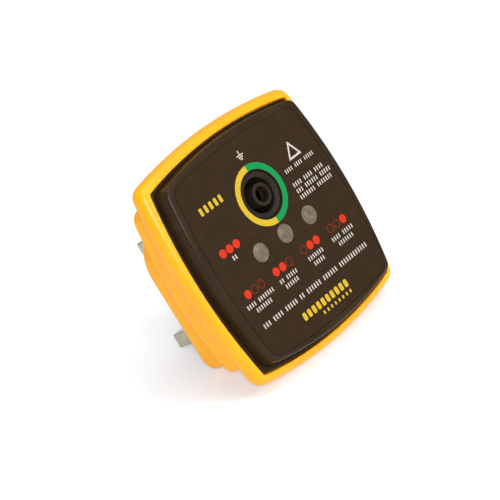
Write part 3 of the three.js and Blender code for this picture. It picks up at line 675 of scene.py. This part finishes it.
def rear_casing():
    body = loft("rear_casing_moulding", casing_rings())
    post_radius, post_front = 3.4, 17.5
    peg_radius, peg_front = 2.5, 23.6
    rooted = MATING_FACE - CASING_WALL + 0.5
    posts = [plate("post", circle(post_radius, *at), post_front, rooted) for at in CASING_SCREWS]
    pegs = [
        plate("peg", circle(peg_radius, 0.0, z), peg_front, rooted) for z in CARRIER_PEG_HEIGHTS
    ]
    boolean(body, joined("posts", posts + pegs), "UNION")

    well_depth = 6.6
    slot_depth, slot_corner, slot_rim = 3.0, 0.45, 0.15
    seat_gap, seat_corner, seat_depth, seat_rim = 0.15, 0.8, 0.3, 0.1
    holes = []
    for x, z in CASING_SCREWS:
        holes.append(flared_hole("well", circle(SCREW_WELL_RADIUS, x, z), well_depth))
    for node, (x, z) in PIN_PLACES.items():
        width, height = BAR_SIZES[node]
        outline = rounded_box(width / 2 + FINE, height / 2 + FINE, slot_corner, x, z)
        holes.append(flared_hole("slot", outline, slot_depth, slot_rim))
    low, high = own_box("rating_plate")
    half_height = (high.z - low.z) / 2
    middle = (high + low) / 2
    outline = rounded_box(high.x + seat_gap, half_height + seat_gap, seat_corner, 0.0, middle.z)
    holes.append(flared_hole("recess", outline, seat_depth, seat_rim))
    cut(body, holes)

    screw_hole, hole_front, hole_back = 1.7, 16.0, 22.0
    through = [
        plate("through", circle(screw_hole, *at), hole_front, hole_back) for at in CASING_SCREWS
    ]
    cut(body, through)
    settle(body, YELLOW, "casing_yellow", "rear_casing")


# ------------------------------------------------------------------ dark cover and label


def front_cover():
    plateau = evenly(bowed(**PLATEAU))
    opening = evenly(bowed(**OPENING))
    recess = evenly(bowed(**RECESS))
    room = 2.2
    edge = 0.2
    gap = 0.25
    foot = -PLATEAU_DRAFT
    groove_width, groove_depth = 0.38, 0.4
    rim = 0.05
    recess_edge = 0.06
    hollow = evenly(bowed(**{**PLATEAU, "corner": HOLLOW_CORNER}))
    rings = [
        *swept(hollow, [(room, COVER_WALL), (room, FLANGE_BACK)]),
        *swept(opening, [
            (gap, FLANGE_BACK),
            *arc((gap + edge, FLANGE_FRONT + edge), edge, 180, 270, 4),
        ]),
        *swept(plateau, [
            *arc((foot - groove_width - rim, FLANGE_FRONT + rim), rim, 270, 360, 2),
            (foot - groove_width, FLANGE_FRONT + groove_depth),
            (foot, FLANGE_FRONT + groove_depth),
            *arc((PLATEAU_EDGE, PLATEAU_EDGE), PLATEAU_EDGE, 172, 270, 12),
        ]),
        *swept(recess, [
            *arc((-recess_edge, recess_edge), recess_edge, 270, 360, 2),
            (0.0, LABEL_SEAT),
        ]),
    ]
    body = loft("front_cover_moulding", rings)

    rooted = COVER_WALL - 0.4
    post_radius, post_back = 2.6, 17.2
    stud_radius, stud_back = 2.3, 11.1
    posts = [
        plate("post", circle(post_radius, x, z, 32), rooted, post_back) for x, z in CASING_SCREWS
    ]
    studs = [
        plate("stud", circle(stud_radius, x, z, 32), rooted, stud_back) for x, z in BOARD_STUDS
    ]
    boolean(body, joined("posts", posts + studs), "UNION")

    hole_back = 4.0
    window_hole = WINDOW_RADIUS + 0.2
    collar_seat = 1.4
    holes = [
        plate("hole", circle(window_hole, x, LED_Z), -BEYOND, hole_back)
        for x in LED_NAMES.values()
    ]
    holes.append(turned_solid("hole", [
        (COLLAR_RADIUS + FINE, -BEYOND), (COLLAR_RADIUS + FINE, collar_seat),
        (BARREL_RADIUS + FINE, collar_seat), (BARREL_RADIUS + FINE, hole_back),
    ], 0.0, SOCKET_Z))
    cut(body, holes)
    settle(body, COVER, "cover_black", "front_cover")


def label_overlay():
    outline = moved_in(evenly(bowed(**RECESS)), LABEL_GAP)
    rim = 0.05
    body = loft("label_sheet", swept(outline, [
        (0.0, LABEL_SEAT),
        *arc((rim, rim), rim, 180, 270, 3),
    ]))
    window_hole, collar_hole = WINDOW_RADIUS + 0.06, COLLAR_RADIUS + 0.25
    holes = [
        plate("hole", circle(window_hole, x, LED_Z), -BEYOND, BEYOND) for x in LED_NAMES.values()
    ]
    holes.append(plate("hole", circle(collar_hole, 0.0, SOCKET_Z, 96), -BEYOND, BEYOND))
    cut(body, holes)
    settle(body, LABEL, "label_film", "label_overlay")


# ------------------------------------------------------------------ printed marks

INK_FRONT, INK_BACK = -0.015, 0.03
RING_OUTER, RING_INNER = 8.4, 6.72
DOT_RADIUS, DOT_PITCH, DOT_LINE = 1.16, 2.68, 0.17
LEGEND_MIDDLE, LEGEND_PITCH, LEGEND_Z = -18.3, 11.6, -7.45
LEGEND = [(1, 0, 0), (1, 1, 0), (0, 1, 1), (0, 0, 1)]
GOOD_Z = 4.45
CAPTIONS = [[(4, 7), (7,)], [(2, 5), (6,)], [(7,), (5,)], [(4, 5), (7,)]]  # marks in each word


def mark(outline):
    return plate("mark", outline, INK_FRONT, INK_BACK)


def hollow_mark(outer, inner):
    """A flat ring between two outlines with equally many points."""
    return loft("mark", [
        level(outer, INK_FRONT), level(inner, INK_FRONT),
        level(inner, INK_BACK), level(outer, INK_BACK),
    ], closed=True)


def half_ring(start, end, count=72):
    """Part of the ring round the socket, between two angles in degrees."""
    angle = np.radians(np.linspace(start, end, count))
    outer = np.column_stack([np.cos(angle), np.sin(angle)]) * RING_OUTER
    inner = np.column_stack([np.cos(angle), np.sin(angle)])[::-1] * RING_INNER
    outline = np.concatenate([outer, inner])
    outline[:, 1] += SOCKET_Z
    return mark(outline)


def words(counts, x, z, pitch, height, stroke, aligned="middle"):
    """A line of plain upright marks in word-like groups, which says nothing."""
    cells = sum(counts) + len(counts) - 1
    left = x - pitch * cells / 2 if aligned == "middle" else x
    marks = []
    cell = 0
    for count in counts:
        for _ in range(count):
            middle = left + (cell + 0.5) * pitch
            outline = rounded_box(stroke / 2, height / 2, stroke * 0.3, middle, z, steps=2)
            marks.append(mark(outline))
            cell += 1
        cell += 1
    return marks


def legend_captions():
    marks = words((2,), LEGEND_MIDDLE, 1.95, 0.95, 1.25, 0.42)
    for index, lines in enumerate(CAPTIONS):
        x = LEGEND_MIDDLE + index * LEGEND_PITCH
        for row, counts in enumerate(lines):
            marks += words(counts, x, -10.3 - 1.85 * row, 0.9, 1.2, 0.38)
    return marks


def side_note():
    """The small block of print to the right of the socket."""
    marks = words((4, 4, 5), 10.45, 11.25, 0.8, 1.1, 0.33, "left")
    for row, counts in enumerate([(4, 4, 4), (3, 6, 5), (7, 7)]):
        marks += words(counts, 10.4, 7.2 - 1.8 * row, 0.9, 1.2, 0.38, "left")
    return marks


def triangle_mark():
    """A plain outlined triangle."""
    def corners(grow):
        return polygon([
            (16.45, 17.6 + 2 * grow, 0.25), (13.9 - 1.6 * grow, 12.9 - grow, 0.25),
            (18.95 + 1.6 * grow, 12.9 - grow, 0.25),
        ])
    return hollow_mark(corners(0.0), corners(-0.55))


def earth_mark():
    """The plain sign for earth: a stem over three bars, each shorter than the last."""
    x, z = 0.5, 21.9
    stroke = 0.22
    bars = [(1.25, -0.1), (0.85, -0.65), (0.42, -1.2)]
    marks = [mark(rounded_box(half, stroke * 0.75, 0.1, x, z + dz, steps=2)) for half, dz in bars]
    marks.append(mark(rounded_box(stroke * 0.75, 0.6, 0.1, x, z + 0.62, steps=2)))
    return marks


def legend_dots():
    """Three-light patterns: filled for a lit light, an outline for a dark one."""
    rows = [(LEGEND_MIDDLE, GOOD_Z, (1, 1, 1))]
    rows += [(LEGEND_MIDDLE + i * LEGEND_PITCH, LEGEND_Z, lit) for i, lit in enumerate(LEGEND)]
    filled, hollow = [], []
    for x, z, pattern in rows:
        for step, lit in enumerate(pattern):
            middle = x + (step - 1) * DOT_PITCH
            if lit:
                filled.append(mark(circle(DOT_RADIUS, middle, z, 48)))
            else:
                hollow.append(hollow_mark(
                    circle(DOT_RADIUS, middle, z, 48),
                    circle(DOT_RADIUS - DOT_LINE, middle, z, 48),
                ))
    return filled, hollow


def printed_marks():
    white = [*legend_captions(), *side_note(), triangle_mark(), *earth_mark()]
    white += words((3, 4, 5, 2, 6, 6, 12), -0.3, -16.5, 1.0, 1.35, 0.42)
    yellow = [half_ring(90, 270)]
    yellow += words((5,), -16.1, 16.0, 1.9, 2.1, 1.05)
    yellow += words((10,), -0.3, -21.1, 1.93, 2.1, 1.3)
    yellow += words((8,), 2.9, -23.45, 1.6, 0.95, 0.62)
    filled, hollow = legend_dots()
    for name, marks, material in (
        ("print_white", white, WHITE_INK),
        ("print_yellow", yellow, YELLOW_INK),
        ("print_green", [half_ring(-90, 90)], GREEN_INK),
        ("print_red", filled, RED_INK),
        ("print_red_outlines", hollow, DIM_RED_INK),
    ):
        settle(joined(name, marks), material, "label_film")


# ------------------------------------------------------------------ lights and socket


def led_windows():
    for name, x in LED_NAMES.items():
        back, rim = 2.3, 0.12
        profile = [
            (WINDOW_RADIUS, back),
            *arc((WINDOW_RADIUS - rim, 0.04 + rim), rim, 0, -80, 4),
            (1.95, 0.0), (1.45, -0.01), (1.3, -0.06), (0.9, -0.1), (0.3, -0.12),
        ]
        lens = turned_solid(f"led_window_{name}_lens", profile, x, LED_Z)
        settle(lens, SMOKE, "window_smoke", f"led_window_{name}")


def earth_socket():
    front, back = 0.35, 14.0
    collar_back, collar_rim, well_rim = 1.3, 0.3, 0.35
    well_back = 11.5
    inner = LINER_RADIUS + 0.1
    collar = turned("earth_socket_collar", [
        (inner, back), (inner, well_back), (WELL_RADIUS, well_back),
        *arc((WELL_RADIUS + well_rim, 1.1), well_rim, 180, 245, 4),
        *arc((COLLAR_RADIUS - collar_rim, front + collar_rim), collar_rim, 270, 360, 5),
        (COLLAR_RADIUS, collar_back), (BARREL_RADIUS, collar_back), (BARREL_RADIUS, back),
    ], 0.0, SOCKET_Z)
    settle(collar, SOCKET, "socket_black", "earth_socket_shroud")
    contact_room, bore_back = 2.75, 2.2
    rim = 0.3
    liner = turned("earth_socket_sleeve", [
        (BORE_RADIUS, bore_back),
        *arc((BORE_RADIUS + rim, 0.0), rim, 180, 270, 5),
        *arc((LINER_RADIUS - rim, 0.0), rim, 270, 360, 5),
        (LINER_RADIUS, back), (contact_room, back), (contact_room, bore_back),
    ], 0.0, SOCKET_Z)
    settle(liner, SOCKET, "socket_black", "earth_socket_liner")
    inside, outside, floor_at, barrel_back = 2.0, 2.45, 12.5, 14.6
    round_front = (outside - inside) / 2
    tail, tail_end, tail_edge = 1.2, 17.2, 0.2
    contact = turned_solid("earth_socket_barrel", [
        (0.4, floor_at), (inside, floor_at), (inside, 2.75),
        *arc((inside + round_front, 2.7), round_front, 180, 360, 6),
        (outside, barrel_back), (tail, barrel_back),
        (tail, tail_end - tail_edge), (tail - tail_edge, tail_end),
    ], 0.0, SOCKET_Z)
    settle(contact, BRASS, "contact_brass", "earth_socket_contact")


# ------------------------------------------------------------------ pins, screws, rating plate


def pin(name, node, start, material, slot):
    """A flat bar with rounded long edges and a tapered, rounded tip."""
    x, z = PIN_PLACES[node]
    half_x = BAR_SIZES[node][0] / 2
    half_z = BAR_SIZES[node][1] / 2
    edge, root_edge = 0.35, 0.2
    chamfer, taper, soft = 1.4, 1.2, 0.35
    tip = own_box(node)[1].y
    profile = [
        (0.0, start), (0.0, tip - chamfer - soft),
        (0.03, tip - chamfer - soft * 0.5), (0.14, tip - chamfer),
        (0.45, tip - chamfer * 0.75), (0.72, tip - chamfer * 0.5),
        (taper - 0.25, tip - 0.32), (taper - 0.08, tip - 0.1), (taper + 0.12, tip),
    ]
    rings = [
        level(rounded_box(half_x - inset, half_z - inset, edge, x, z), y) for inset, y in profile
    ]
    bar = loft(name, rings)
    root = BARS_INSIDE[node]
    parts = [bar]
    for size, front, back in root:
        parts.append(plate("root", rounded_box(*size, root_edge, x, z), front, back))
    settle(joined(name, parts), material, slot, node)


def pins():
    bare_from, earth_from = 37.7, 25.2  # where the line pins' sleeves end, and the earth pin's root
    pin("live_pin_bar", "live_pin", bare_from, NICKEL, "pin_nickel")
    pin("neutral_pin_bar", "neutral_pin", bare_from, NICKEL, "pin_nickel")
    pin("earth_pin_bar", "earth_pin", earth_from, NICKEL, "pin_nickel")
    for node in ("live_pin_sleeve", "neutral_pin_sleeve"):
        low, high = own_box(node)
        half_x, half_z = (high.x - low.x) / 2, (high.z - low.z) / 2
        x, z = (low.x + high.x) / 2, (low.z + high.z) / 2
        edge, inner_edge, wall, rim = 0.4, 0.2, 0.6, 0.15
        outer = [(0.0, low.y), (0.0, high.y - rim), (rim * 0.4, high.y - rim * 0.4), (rim, high.y)]
        rings = [level(rounded_box(half_x - i, half_z - i, edge, x, z), y) for i, y in outer]
        inner = rounded_box(half_x - wall, half_z - wall, inner_edge, x, z)
        rings += [level(inner, high.y), level(inner, low.y)]
        sleeve = loft(f"{node}_cover", rings, closed=True)
        settle(sleeve, SLEEVE, "sleeve_black", node)


def casing_screws():
    """Pan-head screws with a cross recess, deep in their wells."""
    radius, shank, tip = 2.35, 1.3, 1.0
    head, brim, under = 2.0, 0.8, 0.1
    slot_long, slot_wide, slot_depth = 1.35, 0.28, 1.3
    for index, (x, z) in enumerate(CASING_SCREWS):
        node = f"casing_screw_{index + 1}"
        low, high = own_box(node)
        seat = high.y - head
        profile = [
            (shank * 0.6, low.y), (shank, low.y + tip), (shank, seat), (radius - under, seat),
            (radius, seat + under), (radius, seat + brim),
            *[(radius * math.cos(a), seat + brim + (head - brim) * math.sin(a))
              for a in map(math.radians, (15, 30, 45, 60, 72))],
            (radius * 0.16, high.y),
        ]
        screw = turned_solid(f"{node}_pan_head", profile, x, z, 64)
        slots = []
        for across in (True, False):
            size = (slot_long, slot_wide) if across else (slot_wide, slot_long)
            top = rounded_box(*size, 0.12, x, z, steps=2)
            foot = rounded_box(size[0] * 0.6, size[1] * 0.6, 0.1, x, z, steps=2)
            rings = [level(foot, high.y - slot_depth), level(top, high.y + 0.1)]
            slots.append(loft("slot", rings))
        for slot_tool in slots:
            boolean(screw, slot_tool, "DIFFERENCE")
        settle(screw, ZINC, "screw_zinc", node)


def rating_plate():
    """A silver film with plain bars where the ratings would be printed."""
    low, high = own_box("rating_plate")
    x, z = 0.0, (low.z + high.z) / 2
    half_z = (high.z - low.z) / 2
    film_front, film_back, film_corner = 27.72, 27.95, 0.7
    outline = rounded_box(high.x, half_z, film_corner, x, z)
    film = plate("rating_film_sheet", outline, film_front, film_back)
    settle(film, SILVER, "rating_film", "rating_plate")
    bars = []
    first_row, row_pitch, bar_half, bar_corner = 1.3, 1.45, 0.26, 0.12
    bar_front, bar_back = film_back - 0.05, film_back + 0.015
    for row, reach in enumerate((6.4, 5.0, 5.8, 3.6)):
        outline = rounded_box(
            reach, bar_half, bar_corner, 0.0, z + half_z - first_row - row_pitch * row, 2
        )
        bars.append(plate("bar", outline, bar_front, bar_back))
    settle(joined("rating_bars", bars), GREY_INK, "rating_film")


# ------------------------------------------------------------------ parts that stay as in the CAD


def dress_inside():
    """Gives every CAD node that is still shown the material of its slot."""
    slots = {part["node"]: part["material_slot"] for part in frame["record"]["subparts"]}
    for node, shown in frame["nodes"].items():
        if shown.hide_render:
            continue
        shown.data.materials.clear()
        shown.data.materials.append(INSIDE[slots[node]])


# ------------------------------------------------------------------ floor, lights and camera


def floor():
    half = 4.0
    corners = [(-half, -half, 0.0), (half, -half, 0.0), (half, half, 0.0), (-half, half, 0.0)]
    table = make_object("table_top", corners, [(0, 1, 2, 3)])
    table.data.materials.append(table_white())


def area_light(name, position, size, power, colour=(1.0, 1.0, 1.0)):
    """A soft light that faces the tester."""
    light = bpy.data.lights.new(name, "AREA")
    light.shape = "DISK"
    light.size = size
    light.energy = power
    light.color = colour
    lamp = bpy.data.objects.new(name, light)
    lamp.location = position
    aim = Vector((0.0, 0.0, cad_high.z / 2)) - Vector(position)
    lamp.rotation_euler = aim.to_track_quat("-Z", "Y").to_euler()
    bpy.context.scene.collection.objects.link(lamp)


def lights():
    world = bpy.data.worlds.new("studio")
    world.use_nodes = True
    background = world.node_tree.nodes["Background"]
    background.inputs["Color"].default_value = (1.0, 1.0, 1.0, 1.0)
    background.inputs["Strength"].default_value = 0.5
    bpy.context.scene.world = world
    area_light("overhead", (0.2, -0.3, 1.6), 1.4, 14.0)
    area_light("key", (0.5, -1.25, 0.8), 0.7, 9.0)
    area_light("camera_side", (-0.9, -0.9, 0.62), 0.4, 12.0)
    bpy.context.scene.view_settings.view_transform = "Standard"


VIEW_AZIMUTH, VIEW_ELEVATION, VIEW_ROLL = 44.427, 25.408, -15.275  # degrees
VIEW_DISTANCE = 600.498
VIEW_AIM = Vector((1.829, -6.075, 23.382))
VIEW_LENS = 166.34


def camera():
    """Looks down onto the left of the label, with the horizon tilted as in a hand-held shot."""
    azimuth, elevation, roll = map(math.radians, (VIEW_AZIMUTH, VIEW_ELEVATION, VIEW_ROLL))
    forward = Vector((
        math.sin(azimuth) * math.cos(elevation),
        math.cos(azimuth) * math.cos(elevation),
        -math.sin(elevation),
    ))
    level_right = forward.cross(Vector((0.0, 0.0, 1.0))).normalized()
    level_up = level_right.cross(forward)
    right = level_right * math.cos(roll) + level_up * math.sin(roll)
    up = right.cross(forward)
    eye = bpy.data.cameras.new("camera")
    eye.lens = VIEW_LENS
    eye.sensor_width = 36.0
    eye.clip_start = 0.01
    eye.clip_end = 20.0
    viewer = bpy.data.objects.new("camera", eye)
    place_ = Matrix((right, up, -forward)).transposed().to_4x4()
    viewer.matrix_world = Matrix.Translation((VIEW_AIM - forward * VIEW_DISTANCE) * MM) @ place_
    bpy.context.scene.collection.objects.link(viewer)
    bpy.context.scene.camera = viewer


# ------------------------------------------------------------------ assembly

camera()
rear_casing()
front_cover()
label_overlay()
printed_marks()
led_windows()
earth_socket()
pins()
casing_screws()
rating_plate()
dress_inside()
floor()
lights()

bpy.context.view_layer.update()
